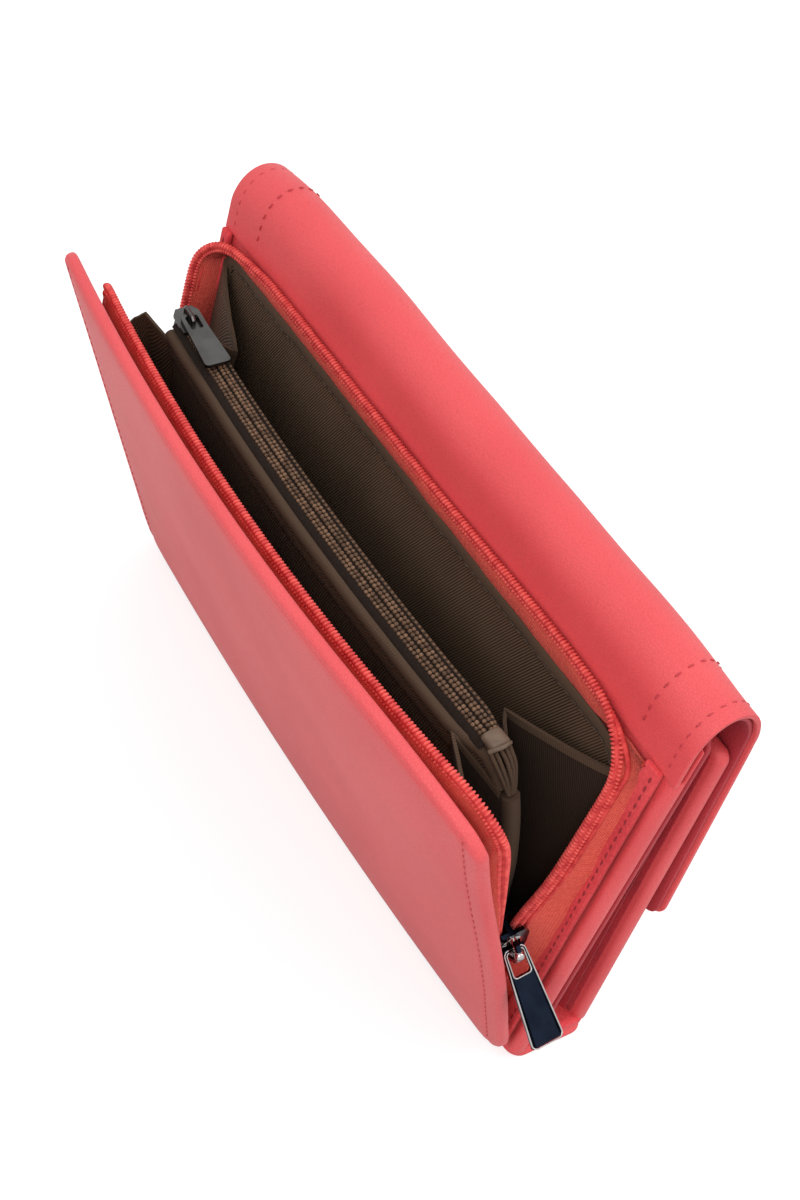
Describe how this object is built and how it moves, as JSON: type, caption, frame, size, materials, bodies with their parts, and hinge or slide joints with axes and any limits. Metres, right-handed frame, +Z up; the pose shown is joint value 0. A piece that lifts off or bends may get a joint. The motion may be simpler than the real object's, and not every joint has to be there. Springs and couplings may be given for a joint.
{
  "type": "travel wallet",
  "caption": "Long leather travel wallet standing on its edge, its flap closed and its zipped compartment open around a twill pocket with its own zip.",
  "frame": {"origin": "on the underside of the base, at the middle of the wallet's length", "axes": "+Z up, +X along the wallet towards the end with the main slider, +Y towards the flap"},
  "size_m": [0.2014, 0.0804, 0.1313],
  "materials": {
    "coral_leather": "smooth, slightly glossy grain",
    "coral_suede": "matte flesh side",
    "coral_tape": "woven zip tape",
    "coral_coil": "moulded nylon coil",
    "brown_twill": "diagonal twill lining",
    "brown_tape": "woven zip tape",
    "brown_coil": "moulded nylon coil",
    "gunmetal": "dark plated die casting",
    "stiffening_board": "pressed fibre board, hidden",
    "magnet": "plated disc, hidden"
  },
  "bodies": {
    "shell": {"base_leather": "coral_leather", "rear_wall_leather": "coral_leather", "rear_wall_board": "stiffening_board", "rear_lining": "brown_twill", "flap_crown_leather": "coral_leather", "flap_crown_lining": "coral_leather", "wall_zip_tape": "coral_tape", "panel_zip_tape": "coral_tape", "wall_zip_coil": "coral_coil", "panel_zip_coil": "coral_coil", "rear_fabric_gusset_right": "brown_twill", "rear_fabric_gusset_left": "brown_twill", "front_fabric_gusset_right": "brown_twill", "front_fabric_gusset_left": "brown_twill", "rear_end_gusset_right": "coral_suede", "rear_end_gusset_left": "coral_suede", "front_end_gusset_right": "coral_suede", "front_end_gusset_left": "coral_suede"},
    "zip_panel": {"zip_panel_leather": "coral_leather", "zip_panel_board": "stiffening_board", "zip_panel_lining": "brown_twill", "zip_bottom_stop": "gunmetal"},
    "pocket": {"pocket_rear_wall": "brown_twill", "pocket_front_wall": "brown_twill", "pocket_zip_tape_rear": "brown_tape", "pocket_zip_tape_front": "brown_tape", "pocket_zip_coil": "brown_coil", "pocket_zip_stop": "brown_coil", "pocket_binding_right": "brown_twill", "pocket_binding_left": "brown_twill", "pocket_foot": "brown_twill"},
    "pocket_slider": {"pocket_slider": "gunmetal"},
    "pocket_puller": {"pocket_puller": "gunmetal"},
    "main_slider": {"main_zip_slider": "gunmetal"},
    "main_puller": {"main_zip_puller": "gunmetal"},
    "flap": {"flap_front_leather": "coral_leather", "flap_board": "stiffening_board", "flap_magnet": "magnet", "flap_lining": "coral_leather"},
    "front_panel": {"front_panel_leather": "coral_leather", "front_panel_board": "stiffening_board", "front_panel_magnet": "magnet", "front_panel_lining": "coral_suede"},
    "divider": {"divider_leather": "coral_leather", "card_slot_1": "coral_leather", "card_slot_2": "coral_leather", "card_slot_3": "coral_leather"}
  },
  "joints": [
    {"name": "panel_hinge", "type": "hinge", "parent": "shell", "child": "zip_panel", "pos_m": [0, -0.0119, 0.0016], "axis": [1, 0, 0], "range_deg": [-12.5, 0], "deforming": ["wall_zip_tape", "panel_zip_tape", "wall_zip_coil", "panel_zip_coil", "rear_fabric_gusset_right", "rear_fabric_gusset_left", "front_fabric_gusset_right", "front_fabric_gusset_left"]},
    {"name": "pocket_hinge", "type": "hinge", "parent": "shell", "child": "pocket", "pos_m": [0, -0.0119, 0.0016], "axis": [1, 0, 0], "range_deg": [-6.7, 0]},
    {"name": "main_slider_slide", "type": "slide", "parent": "shell", "child": "main_slider", "axis": [0, 0.1126, 0.9936], "range_m": [0, 0.046]},
    {"name": "main_puller_hinge", "type": "hinge", "parent": "main_slider", "child": "main_puller", "pos_m": [0.0883, -0.0273, 0.0492], "axis": [0, -0.9767, -0.2147], "range_deg": [0, 105]},
    {"name": "pocket_slider_track", "type": "hinge", "parent": "pocket", "child": "pocket_slider", "pos_m": [0, 0.84097, 0.28939], "axis": [0, -0.213, 0.977], "range_deg": [0, 8.5], "deforming": ["pocket_zip_coil"]},
    {"name": "pocket_puller_hinge", "type": "hinge", "parent": "pocket_slider", "child": "pocket_puller", "pos_m": [-0.0735, -0.03567, 0.10112], "axis": [-0.0817, -0.9738, -0.2123], "range_deg": [0, 170]},
    {"name": "flap_hinge", "type": "hinge", "parent": "shell", "child": "flap", "pos_m": [0, 0.0032, 0.11775], "axis": [1, 0, 0], "range_deg": [0, 170]},
    {"name": "front_panel_hinge", "type": "hinge", "parent": "shell", "child": "front_panel", "pos_m": [0, 0.0118, 0.0015], "axis": [-1, 0, 0], "range_deg": [0, 8.6], "deforming": ["front_end_gusset_right", "front_end_gusset_left"]},
    {"name": "divider_hinge", "type": "hinge", "parent": "shell", "child": "divider", "pos_m": [0, -0.0035, 0.0029], "axis": [-1, 0, 0], "range_deg": [0, 2.8], "deforming": ["rear_end_gusset_right", "rear_end_gusset_left"]}
  ],
  "couplings": [
    {"joint": "pocket_hinge", "follows": "panel_hinge", "ratio": 0.528},
    {"joint": "main_slider_slide", "follows": "panel_hinge", "m_per_rad": -0.20626},
    {"joint": "front_panel_hinge", "follows": "flap_hinge", "ratio": 0.05},
    {"joint": "divider_hinge", "follows": "flap_hinge", "ratio": 0.016}
  ]
}
